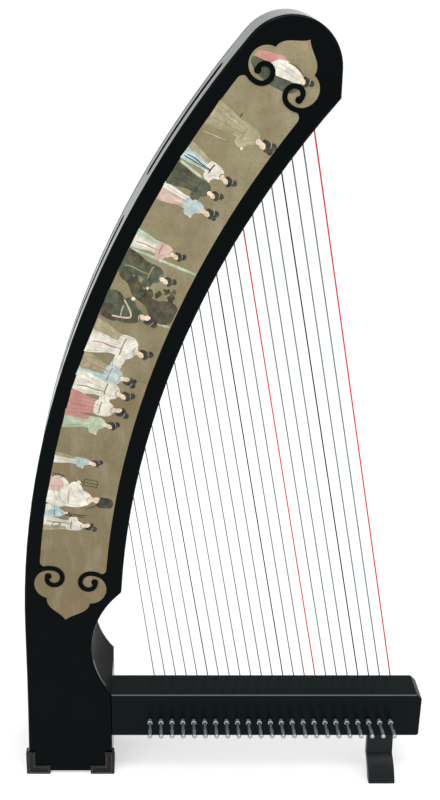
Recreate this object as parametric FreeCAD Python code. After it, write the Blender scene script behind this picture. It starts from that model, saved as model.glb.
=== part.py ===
import FreeCAD, Part
import math
import os

os.makedirs("parts", exist_ok=True)

V = FreeCAD.Vector

# ---- driving dimensions, millimetres and degrees ----
# side profile of the curved column, drawn in the XZ plane, string plane at y = 0
column_left = -248.5
column_right = -142.0
base_height = 7.0
base_flare = 3.0
floor_height = 3.5
back_centre = (857.5, 219.0)
back_radius = 1106.0
inner_centre = (871.5, 218.5)
inner_radius = 1001.0
head_radius = 55.0
head_angle = 40.0
notch_centre = (-60.7, 191.4)
notch_radius = 105.2
notch_corner_round = 7.0

# column section: the two side panels lean together towards the head
half_depth_at_floor = 57.5
side_lean = 1.3
side_thickness = 8.0
side_edge_round = 3.5
seam_inset = 0.4
back_thickness = 6.0
soundboard_recess = 3.0
soundboard_thickness = 4.0
strip_thickness = 2.0
strip_width = 18.0
bar_depth = 10.0
bar_width = 14.0
lining_size = 8.0
liner_thickness = 8.0
plate_thickness = 10.0
brace_thickness = 6.0
brace_angles = (16.6, 29.2)
brace_reach = 130.0
brace_window = 18.0
brace_window_depth = 42.0
tall = 1000.0
deep = 90.0

# sound slots in the back, as pairs of start and end angles
slot_angles = ((4.6, 13.2), (17.4, 27.2), (30.8, 37.4))
slot_width = 18.0

# arm
arm_end = 254.0
arm_low = 61.0
arm_high = 124.5
arm_front = -55.5
arm_back = -11.0
arm_edge_round = 2.5
arm_end_chamfer = 7.0
arm_low_chamfer = (2.0, 2.5)
tenon_length = 50.0
tenon_height = 36.0
tenon_depth = 22.0
tenon_fit = 0.15
bolt_radius = 3.0
bolt_head_radius = 5.0
bolt_head_height = 5.0
bolt_spacing = 24.0

# tuning pins, one per string
string_count = 23
pin_pitch = 14.0
first_pin_x = -93.0
pin_height = 86.0
pin_radius = 2.5
pin_hole_radius = 2.55
pin_tip_y = -90.0
pin_rear_y = 6.5
collar_radius = 3.4
collar_length = 6.3
collar_gap = 0.5
collar_round = 1.2
neck_radius = 2.1
key_flat = 4.6
key_length = 13.0
key_round = 0.9
tip_radius = 2.9
winding_radius = 3.4
winding_front = -4.5
winding_rear = 3.0
pin_end_radius = 3.4
pin_end_length = 1.5

# guide pins on the back of the arm
guide_height = 106.0
guide_pitch = 14.15
first_string_x = -86.0
guide_radius = 2.0
guide_depth = 12.0
guide_rear_y = 5.5
guide_head_radius = 2.8
guide_head_length = 1.5

# strings, from the short treble by the column to the long bass
thin_string = 0.60
thick_string = 0.85
anchor_terms = (7.54, 2.235, -0.0645, 0.00118)
dark_strings = (6, 13, 20)
red_strings = (16, 23)
string_gap = 0.3
guide_gap = 0.05
anchor_bend = 3.0
anchor_lift = 1.5
hole_radius = 1.5
eyelet_radius = 3.0
eyelet_height = 1.2
eyelet_seat = 0.02
knot_radius = 2.6
knot_length = 6.0

# painted panel let into each side, and its cloud-shaped ends
inlay_depth = 1.5
panel_back_margin = 17.5
panel_inner_margin = 20.5
cloud_low_origin = (-187.0, 305.1)
cloud_low_angle = -8.6
cloud_high_origin = (33.9, 869.8)
cloud_high_angle = -34.6
cloud_high_scale = 0.94
ribbon_half_width = 2.9
ribbon_ball = 4.1
ribbon_relief = 0.8
ribbon_centre = (14.5, 22.5)
ribbon_points = 15
ribbon_start = -58.0
ribbon_end = 290.0

# corner feet and arm foot
foot_reach = 31.0
foot_height = 33.0
foot_wall = 2.5
foot_leg_width = 12.0
foot_leg_height = 12.0
foot_rim = 2.0
foot_rim_depth = 0.8
foot_edge_round = 1.4
# the stand is a bent plate with a flange under the arm: its places are pairs of y and z
stand_left = 189.5
stand_right = 223.0
stand_neck_front = (-48.0, 61.0)
stand_front_crease = (-51.0, 31.0)
stand_shin = (-68.5, 20.0)
stand_toe = (-79.0, 6.5)
stand_heel_y = -67.0
stand_calf = (-59.0, 15.5)
stand_rear_crease = (-43.0, 27.0)
stand_neck_rear = (-40.0, 54.0)
stand_flange_low = (-18.0, 54.0)
stand_flange_high = (-18.0, 61.0)
stand_pad = 1.0
stand_pad_margin = 0.8
stand_screw_y = -29.0
stand_screw_radius = 2.5
stand_screw_head = 4.0
stand_screw_head_length = 3.0
stand_screw_low = 51.0
stand_screw_top = 80.0
stand_screw_spacing = 14.0

lean_tangent = math.tan(math.radians(side_lean))
parts = {}


def face_of(edges):
    return Part.Face(Part.Wire(Part.__sortEdges__(edges)))


def prism(face, low_y, high_y):
    moved = face.copy()
    moved.translate(V(0, low_y, 0))
    return moved.extrude(V(0, high_y - low_y, 0))


def box(low, high):
    return Part.makeBox(high[0] - low[0], high[1] - low[1], high[2] - low[2], V(*low))


def rod(radius, start, end):
    return Part.makeCylinder(radius, (end - start).Length, start, end - start)


def line(a, b):
    return Part.makeLine(V(a[0], 0, a[1]), V(b[0], 0, b[1]))


def arc(a, b, c):
    return Part.Arc(V(a[0], 0, a[1]), V(b[0], 0, b[1]), V(c[0], 0, c[1])).toShape()


def curve(points):
    spline = Part.BSplineCurve()
    spline.interpolate([V(x, 0, z) for x, z in points])
    return spline.toShape()


def sweep_point(centre, radius, angle):
    a = math.radians(angle)
    return (centre[0] - radius * math.cos(a), centre[1] + radius * math.sin(a))


def back_point(inset, angle):
    return sweep_point(back_centre, back_radius - inset, angle)


def inner_point(inset, angle):
    return sweep_point(inner_centre, inner_radius + inset, angle)


def disc(centre, radius):
    return Part.makeCylinder(radius, 2 * deep, V(centre[0], -deep, centre[1]), V(0, 1, 0))


def sector(centre, low_radius, high_radius, low_angle, high_angle):
    mid_angle = (low_angle + high_angle) / 2
    outer = [sweep_point(centre, high_radius, a) for a in (low_angle, mid_angle, high_angle)]
    inner = [sweep_point(centre, low_radius, a) for a in (low_angle, mid_angle, high_angle)]
    return face_of([arc(*outer), line(outer[2], inner[2]), arc(*inner), line(inner[0], outer[0])])


def circles_meet(first, first_radius, second, second_radius):
    gap = math.hypot(second[0] - first[0], second[1] - first[1])
    along = (gap ** 2 + first_radius ** 2 - second_radius ** 2) / (2 * gap)
    across = math.sqrt(first_radius ** 2 - along ** 2)
    ux = (second[0] - first[0]) / gap
    uz = (second[1] - first[1]) / gap
    return (first[0] + along * ux + across * uz, first[1] + along * uz - across * ux)


def flare(left, floor):
    low = (left - base_flare, floor)
    return arc(low, (left - base_flare / 4, back_centre[1] / 2), (left, back_centre[1]))


def column_face(inset, floor):
    head_centre = back_point(head_radius, head_angle)
    head = head_radius - inset
    inner = inner_radius + inset
    notch = notch_radius + inset
    left = column_left + inset
    right = column_right - inset
    top = [sweep_point(head_centre, head, a) for a in (head_angle, 110.0, 180.0)]
    lip_x = top[2][0]
    lip = (lip_x, inner_centre[1] + math.sqrt(inner ** 2 - (inner_centre[0] - lip_x) ** 2))
    corner = circles_meet(inner_centre, inner, notch_centre, notch)
    notch_end = (right, notch_centre[1] - math.sqrt(notch ** 2 - (notch_centre[0] - right) ** 2))
    inner_mid = sweep_point(inner_centre, inner, 20.0)
    notch_mid = (notch_centre[0] - notch, notch_centre[1])
    edges = [
        flare(left, floor),
        arc((left, back_centre[1]), back_point(inset, head_angle / 2), top[0]),
        arc(*top),
        line(top[2], lip),
        arc(lip, inner_mid, corner),
        arc(corner, notch_mid, notch_end),
        line(notch_end, (right, floor)),
        line((right, floor), (left - base_flare, floor)),
    ]
    return face_of(edges), corner


def wedge(inset):
    low = half_depth_at_floor - inset
    high = low - tall * lean_tangent
    corners = [(-low, 0.0), (low, 0.0), (high, tall), (-high, tall)]
    wire = Part.makePolygon([V(-tall, y, z) for y, z in corners + corners[:1]])
    return Part.Face(wire).extrude(V(2 * tall, 0, 0))


def lean(shape):
    tilted = shape.copy()
    tilted.rotate(V(0, 0, 0), V(1, 0, 0), -side_lean)
    tilted.translate(V(0, -half_depth_at_floor, 0))
    return tilted


def other_side(shape):
    return shape.mirror(V(0, 0, 0), V(0, 1, 0))


def keep(name, shape):
    parts[name] = shape


# ---- painted panel outline, in a frame with "out" away from the panel and "side" across it ----
def cloud_point(origin, angle, scale, out, side, mirror):
    a = math.radians(angle)
    direction = -1.0 if mirror else 1.0
    x = origin[0] + scale * (side * math.cos(a) - direction * out * math.sin(a))
    z = origin[1] + scale * (side * math.sin(a) + direction * out * math.cos(a))
    return (x, z)


def cloud_edges(origin, angle, scale, mirror, low_end, high_end):
    def at(out, side):
        return cloud_point(origin, angle, scale, out, side, mirror)

    edges = []
    for hand, end in ((-1, low_end), (1, high_end)):
        gap_in = at(5.0, hand * 33.0)
        cusp = at(43.0, hand * 26.5)
        shoulder = at(0.0, hand * 35.0)
        edges.append(arc(end, at(-1.6, hand * 38.6), shoulder))
        edges.append(line(shoulder, gap_in))
        edges.append(arc(gap_in, at(20.0, hand * 44.0), cusp))
        edges.append(curve([cusp, at(50.5, hand * 24.6), at(59.0, hand * 15.5), at(70.5, 0.0)]))
    return edges


def panel_face():
    back_low = back_point(panel_back_margin, 5.2)
    back_high = back_point(panel_back_margin, 37.75)
    inner_low = inner_point(panel_inner_margin, 4.9)
    inner_high = inner_point(panel_inner_margin, 37.6)
    edges = [
        arc(back_low, back_point(panel_back_margin, 20.0), back_high),
        arc(inner_low, inner_point(panel_inner_margin, 20.0), inner_high),
    ]
    low_cloud = (cloud_low_origin, cloud_low_angle, 1.0, True)
    high_cloud = (cloud_high_origin, cloud_high_angle, cloud_high_scale, False)
    edges += cloud_edges(*low_cloud, back_low, inner_low)
    edges += cloud_edges(*high_cloud, back_high, inner_high)
    return face_of(edges)


def ribbon_radius(turn):
    if turn < 0:
        return 13.5 - 0.0244 * turn + 0.0011 * turn ** 2
    return 13.5 - 0.0244 * turn


def ribbon(origin, angle, scale, mirror, hand):
    middle = []
    for k in range(ribbon_points):
        turn = ribbon_start + (ribbon_end - ribbon_start) * k / (ribbon_points - 1)
        a = math.radians(turn)
        out = ribbon_centre[0] - ribbon_radius(turn) * math.cos(a)
        side = ribbon_centre[1] - ribbon_radius(turn) * math.sin(a)
        middle.append((out, side))
    rails = {-1: [], 1: []}
    for k in range(ribbon_points):
        before = middle[max(k - 1, 0)]
        after = middle[min(k + 1, ribbon_points - 1)]
        span = math.hypot(after[0] - before[0], after[1] - before[1])
        normal = ((before[1] - after[1]) / span, (after[0] - before[0]) / span)
        for rail in rails:
            out = middle[k][0] + rail * ribbon_half_width * normal[0]
            side = middle[k][1] + rail * ribbon_half_width * normal[1]
            rails[rail].append(cloud_point(origin, angle, scale, out, hand * side, mirror))
    outline = [curve(rails[-1]), curve(rails[1])]
    outline += [line(rails[-1][0], rails[1][0]), line(rails[-1][-1], rails[1][-1])]
    strip = prism(face_of(outline), -ribbon_relief, 0.0)
    ball = cloud_point(origin, angle, scale, middle[-1][0], hand * middle[-1][1], mirror)
    end = rod(ribbon_ball * scale, V(ball[0], -ribbon_relief, ball[1]), V(ball[0], 0, ball[1]))
    return strip.fuse(end).removeSplitter()


# ---- column shell ----
outline, corner = column_face(0.0, 0.0)
panel_blank = prism(outline, 0.0, side_thickness)
corner_edges = [
    e for e in panel_blank.Edges
    if abs(e.Vertexes[0].Point.x - corner[0]) < 0.1 and abs(e.Vertexes[-1].Point.x - corner[0]) < 0.1
    and abs(e.Vertexes[0].Point.z - corner[1]) < 0.1 and abs(e.Vertexes[-1].Point.z - corner[1]) < 0.1
]
panel_blank = panel_blank.makeFillet(notch_corner_round, corner_edges)
rim = [e for e in panel_blank.Edges if all(abs(v.Point.y) < 0.01 for v in e.Vertexes)]
rim = [
    e for e in rim
    if min(v.Point.z for v in e.Vertexes) > 1.0 or abs(e.tangentAt(e.FirstParameter).z) > 0.9
]
panel_blank = panel_blank.makeFillet(side_edge_round, rim)

painting = panel_face()
pocket = prism(painting, -1.0, inlay_depth)
above_floor = box((-tall, -deep, base_height), (tall, deep, tall))
side_panel = lean(panel_blank.cut(pocket)).common(above_floor)
keep("front_side_panel", side_panel)
keep("rear_side_panel", other_side(side_panel))

inlay = lean(prism(painting, 0.0, inlay_depth))
keep("front_painted_panel", inlay)
keep("rear_painted_panel", other_side(inlay))

scrolls = []
for hand in (-1, 1):
    scrolls.append(ribbon(cloud_low_origin, cloud_low_angle, 1.0, True, hand))
    scrolls.append(ribbon(cloud_high_origin, cloud_high_angle, cloud_high_scale, False, hand))
scroll_set = lean(Part.makeCompound(scrolls))
keep("front_scroll_ornament", scroll_set)
keep("rear_scroll_ornament", other_side(scroll_set))

gap = wedge(side_thickness / math.cos(math.radians(side_lean)))
solid_column = prism(column_face(seam_inset, base_height)[0], -deep, deep)
inside = solid_column.common(gap)

back_outer = back_point(seam_inset, head_angle)
back_inner = back_point(back_thickness, head_angle)
seam_left = column_left + seam_inset
block_left = column_left + back_thickness
back_face = face_of([
    flare(seam_left, base_height),
    arc((seam_left, back_centre[1]), back_point(seam_inset, head_angle / 2), back_outer),
    line(back_outer, back_inner),
    arc(back_inner, back_point(back_thickness, head_angle / 2), (block_left, back_centre[1])),
    line((block_left, back_centre[1]), (block_left, base_height)),
    line((block_left, base_height), (seam_left - base_flare, base_height)),
])
back_blank = prism(back_face, -deep, deep).common(gap)


def slot_solid(low_angle, high_angle):
    band = sector(back_centre, back_radius - 20.0, back_radius + 10.0, low_angle, high_angle)
    slot = prism(band, -slot_width / 2, slot_width / 2)
    for angle in (low_angle, high_angle):
        start = back_point(20.0, angle)
        end = back_point(-10.0, angle)
        slot = slot.fuse(rod(slot_width / 2, V(start[0], 0, start[1]), V(end[0], 0, end[1])))
    return slot


for low_angle, high_angle in slot_angles:
    back_blank = back_blank.cut(slot_solid(low_angle, high_angle))
keep("back_plate", back_blank)

# head block: everything above the radial line through the centre of the head
head_line = [back_point(-60.0, head_angle), back_point(200.0, head_angle)]
head_region = face_of([
    line(head_line[0], head_line[1]),
    line(head_line[1], (head_line[1][0], tall)),
    line((head_line[1][0], tall), (head_line[0][0], tall)),
    line((head_line[0][0], tall), head_line[0]),
])
head_block = inside.common(prism(head_region, -deep, deep))
keep("head_block", head_block)

# notch liner with its thicker top corner
liner_zone = disc(notch_centre, notch_radius + liner_thickness)
liner_zone = liner_zone.fuse(box((-141.0, -deep, 262.0), (-110.0, deep, 279.0)))
liner_zone = liner_zone.common(box((-190.0, -deep, 117.0), (column_right - seam_inset + 30.0, deep, 279.0)))
notch_liner = inside.common(liner_zone)
keep("notch_liner", notch_liner)

# base block and floor plate
block_floor = base_height + plate_thickness
block = box((block_left, -deep, block_floor), (column_right, deep, arm_high)).common(inside)
block = block.cut(disc(notch_centre, notch_radius + liner_thickness))
tenon_low = (arm_low + arm_high - tenon_height) / 2
tenon_high = tenon_low + tenon_height
tenon_front = (arm_front + arm_back - tenon_depth) / 2
tenon_back = tenon_front + tenon_depth
tenon_end = column_right - tenon_length
mortise = box(
    (tenon_end - tenon_fit, tenon_front - tenon_fit, tenon_low - tenon_fit),
    (tall, tenon_back + tenon_fit, tenon_high + tenon_fit),
)
block = block.cut(mortise)
bolt_y = (tenon_front + tenon_back) / 2
bolt_middle = (tenon_end + column_right) / 2
bolts = []
for side in (-1, 1):
    x = bolt_middle + side * bolt_spacing / 2
    shank = rod(bolt_radius, V(x, bolt_y, block_floor), V(x, bolt_y, tenon_high - 4.0))
    head = rod(bolt_head_radius, V(x, bolt_y, block_floor), V(x, bolt_y, block_floor + bolt_head_height))
    bolts.append(shank.fuse(head))
bolt_set = Part.makeCompound(bolts)
keep("base_block", block.cut(bolt_set))
keep("arm_bolts", bolt_set)
floor_plate = box((block_left, -deep, base_height), (column_right, deep, block_floor))
keep("base_plate", floor_plate.common(inside))

# ---- soundboard, strips and inner frame ----
board_low = 3.5
board_high = math.degrees(math.asin((856.0 - inner_centre[1]) / inner_radius)) - 0.25
board_outer = inner_radius + soundboard_recess
board_inner = board_outer + soundboard_thickness
board = prism(sector(inner_centre, board_outer, board_inner, board_low, board_high), -deep, deep)
board = board.common(gap)
strip_outer = board_outer - strip_thickness
strip_band = sector(inner_centre, strip_outer, board_outer, 5.0, board_high - 0.3)
strip = prism(strip_band, -strip_width / 2, strip_width / 2)
bar_inner = board_inner + bar_depth
bar_band = sector(inner_centre, board_inner, bar_inner, 5.0, board_high - 0.8)
bar = prism(bar_band, -bar_width / 2, bar_width / 2)

lining_band = sector(inner_centre, board_inner, board_inner + lining_size, 4.5, board_high - 0.6)
lining_ring = prism(lining_band, -deep, deep).common(gap)
lining_hollow = wedge(side_thickness / math.cos(math.radians(side_lean)) + lining_size)
keep("soundboard_linings", lining_ring.cut(lining_hollow))

braces = []
for angle in brace_angles:
    outer = back_point(back_thickness + 0.2, angle)
    toward = math.radians(angle)
    reach = V(math.cos(toward), 0, -math.sin(toward))
    upward = V(math.sin(toward), 0, math.cos(toward))
    start = V(outer[0], 0, outer[1])
    corners = [start - upward * brace_thickness / 2, start + upward * brace_thickness / 2]
    corners += [corners[1] + reach * brace_reach, corners[0] + reach * brace_reach]
    wire = Part.makePolygon(corners + corners[:1])
    brace = prism(Part.Face(wire), -deep, deep).common(gap)
    brace = brace.cut(disc(inner_centre, bar_inner + 0.2))
    hollow = start + reach * brace_window_depth
    window = rod(brace_window, hollow - upward * brace_thickness, hollow + upward * brace_thickness)
    braces.append(brace.cut(window))
keep("cross_braces", Part.makeCompound(braces))


# ---- strings and what holds them ----
def rounded_path(points, radii):
    edges = []
    last = points[0]
    for k in range(1, len(points) - 1):
        back = (points[k - 1] - points[k]).normalize()
        ahead = (points[k + 1] - points[k]).normalize()
        turn = math.pi - back.getAngle(ahead)
        cut = radii[k - 1] * math.tan(turn / 2)
        enter = points[k] + back * cut
        leave = points[k] + ahead * cut
        bisector = (back + ahead).normalize()
        centre = points[k] + bisector * (radii[k - 1] / math.cos(turn / 2))
        middle = centre - bisector * radii[k - 1]
        edges.append(Part.makeLine(last, enter))
        edges.append(Part.Arc(enter, middle, leave).toShape())
        last = leave
    edges.append(Part.makeLine(last, points[-1]))
    return Part.Wire(edges)


strings = {"plain_strings": [], "dark_strings": [], "red_strings": []}
eyelets = []
knots = []
string_holes = []
guide_pins = []
for k in range(string_count):
    gauge = thin_string + (thick_string - thin_string) * k / (string_count - 1)
    angle = sum(term * k ** power for power, term in enumerate(anchor_terms))
    surface = sweep_point(inner_centre, strip_outer, angle)
    inward = V(surface[0] - inner_centre[0], 0, surface[1] - inner_centre[1]).normalize()
    mouth = V(surface[0], 0, surface[1])
    depth = bar_inner - strip_outer
    bend = mouth - inward * anchor_lift
    inner_end = mouth + inward * (depth + 1.0)
    string_x = first_string_x + guide_pitch * k
    wind_x = first_pin_x + pin_pitch * k + winding_radius + gauge + string_gap
    guide_point = V(string_x, 0, guide_height)
    wind_point = V(wind_x, 0, pin_height)
    guide_bend = guide_radius + guide_gap + gauge
    path = rounded_path([inner_end, bend, guide_point, wind_point], [anchor_bend, guide_bend])
    section = Part.Wire(Part.makeCircle(gauge, inner_end, inward))
    cord = path.makePipeShell([section], True, False)
    number = k + 1
    if number in red_strings:
        strings["red_strings"].append(cord)
    elif number in dark_strings:
        strings["dark_strings"].append(cord)
    else:
        strings["plain_strings"].append(cord)

    string_holes.append(rod(hole_radius, mouth - inward * 4.0, mouth + inward * (depth + 4.0)))
    ring = rod(eyelet_radius, mouth - inward * eyelet_height, mouth - inward * eyelet_seat)
    ring = ring.cut(rod(hole_radius, mouth - inward * 4.0, mouth + inward * 4.0))
    eyelets.append(ring)
    knots.append(rod(knot_radius, inner_end, inner_end + inward * knot_length))

    back = (bend - guide_point).normalize()
    ahead = (wind_point - guide_point).normalize()
    turn = math.pi - back.getAngle(ahead)
    centre = guide_point + (back + ahead).normalize() * (guide_bend / math.cos(turn / 2))
    guide_start = V(centre.x, arm_back - guide_depth, centre.z)
    guide_end = V(centre.x, guide_rear_y, centre.z)
    cap_start = V(centre.x, guide_rear_y - guide_head_length, centre.z)
    cap = rod(guide_head_radius, cap_start, guide_end)
    guide_pins.append(rod(guide_radius, guide_start, guide_end).fuse(cap))

hole_set = Part.makeCompound(string_holes)
keep("soundboard", board.cut(hole_set))
keep("outer_string_strip", strip.cut(hole_set))
keep("inner_string_bar", bar.cut(hole_set))
for name in strings:
    keep(name, Part.makeCompound(strings[name]))
keep("string_eyelets", Part.makeCompound(eyelets))
keep("string_knots", Part.makeCompound(knots))
guide_set = Part.makeCompound(guide_pins)
keep("guide_pins", guide_set)

# ---- arm ----
arm_face = face_of([
    line((column_right, arm_low), (arm_end - arm_low_chamfer[0], arm_low)),
    line((arm_end - arm_low_chamfer[0], arm_low), (arm_end, arm_low + arm_low_chamfer[1])),
    line((arm_end, arm_low + arm_low_chamfer[1]), (arm_end, arm_high - arm_end_chamfer)),
    line((arm_end, arm_high - arm_end_chamfer), (arm_end - arm_end_chamfer, arm_high)),
    line((arm_end - arm_end_chamfer, arm_high), (column_right, arm_high)),
    line((column_right, arm_high), (column_right, arm_low)),
])
arm = prism(arm_face, arm_front, arm_back)
arm_rim = [e for e in arm.Edges if min(v.Point.x for v in e.Vertexes) > column_right + 1.0]
arm_rim += [e for e in arm.Edges if abs(e.tangentAt(e.FirstParameter).x) > 0.99 and e not in arm_rim]
arm = arm.makeFillet(arm_edge_round, arm_rim)
tenon = box((tenon_end, tenon_front, tenon_low), (column_right, tenon_back, tenon_high))
arm = arm.fuse(tenon).removeSplitter()
pin_holes = []
for k in range(string_count):
    x = first_pin_x + pin_pitch * k
    hole_start = V(x, arm_front - 5.0, pin_height)
    pin_holes.append(rod(pin_hole_radius, hole_start, V(x, arm_back + 5.0, pin_height)))
arm = arm.cut(Part.makeCompound(pin_holes)).cut(guide_set).cut(bolt_set)

# ---- stand under the free end of the arm ----
def yz(place):
    return V(0, place[0], place[1])


def yz_line(a, b):
    return Part.makeLine(yz(a), yz(b))


def yz_arc(a, b, c):
    return Part.Arc(yz(a), yz(b), yz(c)).toShape()


sole_height = floor_height + stand_pad
toe_low = (stand_toe[0], sole_height)
heel = (stand_heel_y, sole_height)
stand = face_of([
    yz_line(stand_neck_front, stand_front_crease),
    yz_arc(stand_front_crease, stand_shin, stand_toe),
    yz_line(stand_toe, toe_low),
    yz_line(toe_low, heel),
    yz_arc(heel, stand_calf, stand_rear_crease),
    yz_line(stand_rear_crease, stand_neck_rear),
    yz_line(stand_neck_rear, stand_flange_low),
    yz_line(stand_flange_low, stand_flange_high),
    yz_line(stand_flange_high, stand_neck_front),
]).extrude(V(stand_right - stand_left, 0, 0))
stand.translate(V(stand_left, 0, 0))
screws = []
stand_middle = (stand_left + stand_right) / 2
for side in (-1, 1):
    x = stand_middle + side * stand_screw_spacing / 2
    seat = V(x, stand_screw_y, stand_screw_low)
    shank = rod(stand_screw_radius, seat, V(x, stand_screw_y, stand_screw_top))
    screws.append(shank.fuse(rod(stand_screw_head, seat, seat + V(0, 0, stand_screw_head_length))))
screw_set = Part.makeCompound(screws)
keep("arm_stand", stand.cut(screw_set))
keep("stand_screws", screw_set)
arm = arm.cut(screw_set)
keep("arm", arm)
pad_low = (stand_left + stand_pad_margin, stand_toe[0] + stand_pad_margin, floor_height)
pad_high = (stand_right - stand_pad_margin, stand_heel_y - stand_pad_margin, sole_height)
keep("stand_pad", box(pad_low, pad_high))

# ---- L-shaped corner feet ----
def corner_foot(x_sign, y_sign, face_x):
    inner_end = foot_reach - foot_wall
    full = box((-foot_wall, -foot_wall, 0.0), (inner_end, inner_end, foot_height))
    leg_end = foot_leg_width - foot_wall
    full = full.cut(box((leg_end, -deep, foot_leg_height), (deep, deep, deep)))
    full = full.cut(box((-deep, leg_end, foot_leg_height), (deep, deep, deep)))
    outer = [
        e for e in full.Edges
        if all(v.Point.x < 1.0 - foot_wall for v in e.Vertexes)
        or all(v.Point.y < 1.0 - foot_wall for v in e.Vertexes)
    ]
    full = full.makeFillet(foot_edge_round, [e for e in outer if max(v.Point.z for v in e.Vertexes) > 1.0])
    full = full.cut(box((0.0, 0.0, base_height - floor_height), (deep, deep, deep)))
    low = foot_rim
    far = inner_end - foot_rim
    near = foot_rim + foot_edge_round - foot_wall
    leg = leg_end - foot_rim
    sunk_y = foot_rim_depth - foot_wall
    sunk = box((near, -deep, low), (far, sunk_y, foot_leg_height - low))
    sunk = sunk.fuse(box((near, -deep, low), (leg, sunk_y, foot_height - low)))
    turned = box((-deep, near, low), (sunk_y, far, foot_leg_height - low))
    turned = turned.fuse(box((-deep, near, low), (sunk_y, leg, foot_height - low)))
    full = full.cut(sunk).cut(turned)
    if x_sign < 0:
        full = full.mirror(V(0, 0, 0), V(1, 0, 0))
    if y_sign < 0:
        full = full.mirror(V(0, 0, 0), V(0, 1, 0))
    full.translate(V(face_x, -y_sign * half_depth_at_floor, floor_height))
    return full


base_left = column_left - base_flare
keep("foot_front_left", corner_foot(1, 1, base_left))
keep("foot_front_right", corner_foot(-1, 1, column_right))
keep("foot_rear_left", corner_foot(1, -1, base_left))
keep("foot_rear_right", corner_foot(-1, -1, column_right))


# ---- tuning pins ----
def tuning_pin(x):
    def at(y):
        return V(x, y, pin_height)

    collar_rear = arm_front - collar_gap
    collar_front = collar_rear - collar_length
    key_rear = pin_tip_y + key_length
    body = rod(pin_radius, at(collar_rear - 1.0), at(pin_rear_y))
    collar = rod(collar_radius, at(collar_front), at(collar_rear))
    collar = collar.makeFillet(collar_round, collar.Edges[:1] + collar.Edges[2:])
    neck = rod(neck_radius, at(key_rear - 1.0), at(collar_front + 1.0))
    half = key_flat / 2
    key = box((x - half, pin_tip_y, pin_height - half), (x + half, key_rear, pin_height + half))
    along = [e for e in key.Edges if abs(e.tangentAt(e.FirstParameter).y) > 0.9]
    key = key.makeFillet(key_round, along)
    dome = Part.makeSphere(tip_radius, at(pin_tip_y + tip_radius))
    key = key.common(box((x - half, pin_tip_y + tip_radius, 0), (x + half, key_rear, tall)))
    winding = rod(winding_radius, at(winding_front), at(winding_rear))
    end = rod(pin_end_radius, at(pin_rear_y - pin_end_length), at(pin_rear_y))
    pin = body.fuse([collar, neck, key, dome, winding, end])
    return pin.removeSplitter()


for k in range(string_count):
    keep("tuning_pin_%02d" % (k + 1), tuning_pin(first_pin_x + pin_pitch * k))

# ---- place the origin at the middle of the footprint, on the floor ----
foot_left = base_left - foot_wall
foot_rear = half_depth_at_floor + foot_wall
shift = V(-(foot_left + arm_end) / 2, -(pin_tip_y + foot_rear) / 2, -floor_height)
for name, shape in parts.items():
    shape.translate(shift)
    shape.exportStep("parts/" + name + ".step")
print("nodes", len(parts), "moved by", shift)
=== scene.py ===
import math
import random

import bmesh
import bpy
from mathutils import Matrix, Vector


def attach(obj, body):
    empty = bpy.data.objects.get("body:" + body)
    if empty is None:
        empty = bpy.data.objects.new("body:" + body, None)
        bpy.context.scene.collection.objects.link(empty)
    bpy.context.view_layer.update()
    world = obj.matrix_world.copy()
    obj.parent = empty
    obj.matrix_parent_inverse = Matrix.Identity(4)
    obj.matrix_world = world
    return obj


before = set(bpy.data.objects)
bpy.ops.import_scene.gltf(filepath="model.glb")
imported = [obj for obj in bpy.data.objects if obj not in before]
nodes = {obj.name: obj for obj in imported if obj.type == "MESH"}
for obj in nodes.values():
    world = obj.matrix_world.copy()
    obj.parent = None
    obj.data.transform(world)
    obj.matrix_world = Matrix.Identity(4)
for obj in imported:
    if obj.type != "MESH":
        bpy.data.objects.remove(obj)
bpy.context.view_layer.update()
mm = 0.001
pinCount = 23


def srgb(red, green, blue):
    channels = [value / 255 for value in (red, green, blue)]
    linear = [c / 12.92 if c < 0.04045 else ((c + 0.055) / 1.055) ** 2.4 for c in channels]
    return (*linear, 1.0)


# camera, floor and soft studio light
studio = {
    "lens": 53.1, "pitch": 67.3, "shift": 0.0875,
    "eye": (-0.0930, -1.28008, 1.04675),
    "aim": (0.0, 0.0, 0.30),
    "floorSize": 160.0, "floorTones": ((0.575, 0.575, 0.575, 1), (0.59, 0.59, 0.59, 1)), "floorGlow": 0.45,
    "white": (1.0, 1.0, 1.0, 1.0), "worldStrength": 1.03,
    "lights": (
        {"name": "keyLight", "at": (-1.6, -1.8, 2.6), "size": (1.6, 1.6), "power": 16.0},
        {"name": "fillLight", "at": (2.0, -1.2, 1.8), "size": (1.4, 1.4), "power": 6.0},
        {"name": "overheadStrip", "at": (0.1, -0.55, 2.2), "size": (1.5, 0.5), "power": 16.0},
    ),
}


def placeCamera():
    lens = bpy.data.cameras.new("harpCamera")
    lens.lens = studio["lens"]
    lens.sensor_width = 36.0
    lens.shift_x = studio["shift"]
    lens.clip_end = 100.0
    eye = bpy.data.objects.new("harpCamera", lens)
    eye.location = studio["eye"]
    eye.rotation_euler = (math.radians(studio["pitch"]), 0.0, 0.0)
    bpy.context.collection.objects.link(eye)
    bpy.context.scene.camera = eye


def newMaterial(name, roughness=0.5, metallic=0.0, specular=0.5):
    material = bpy.data.materials.new(name)
    material.use_nodes = True
    tree = material.node_tree
    tree.nodes.clear()
    output = tree.nodes.new("ShaderNodeOutputMaterial")
    shader = tree.nodes.new("ShaderNodeBsdfPrincipled")
    shader.inputs["Roughness"].default_value = roughness
    shader.inputs["Metallic"].default_value = metallic
    shader.inputs["Specular IOR Level"].default_value = specular
    tree.links.new(shader.outputs[0], output.inputs[0])
    return material, tree, shader


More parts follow.
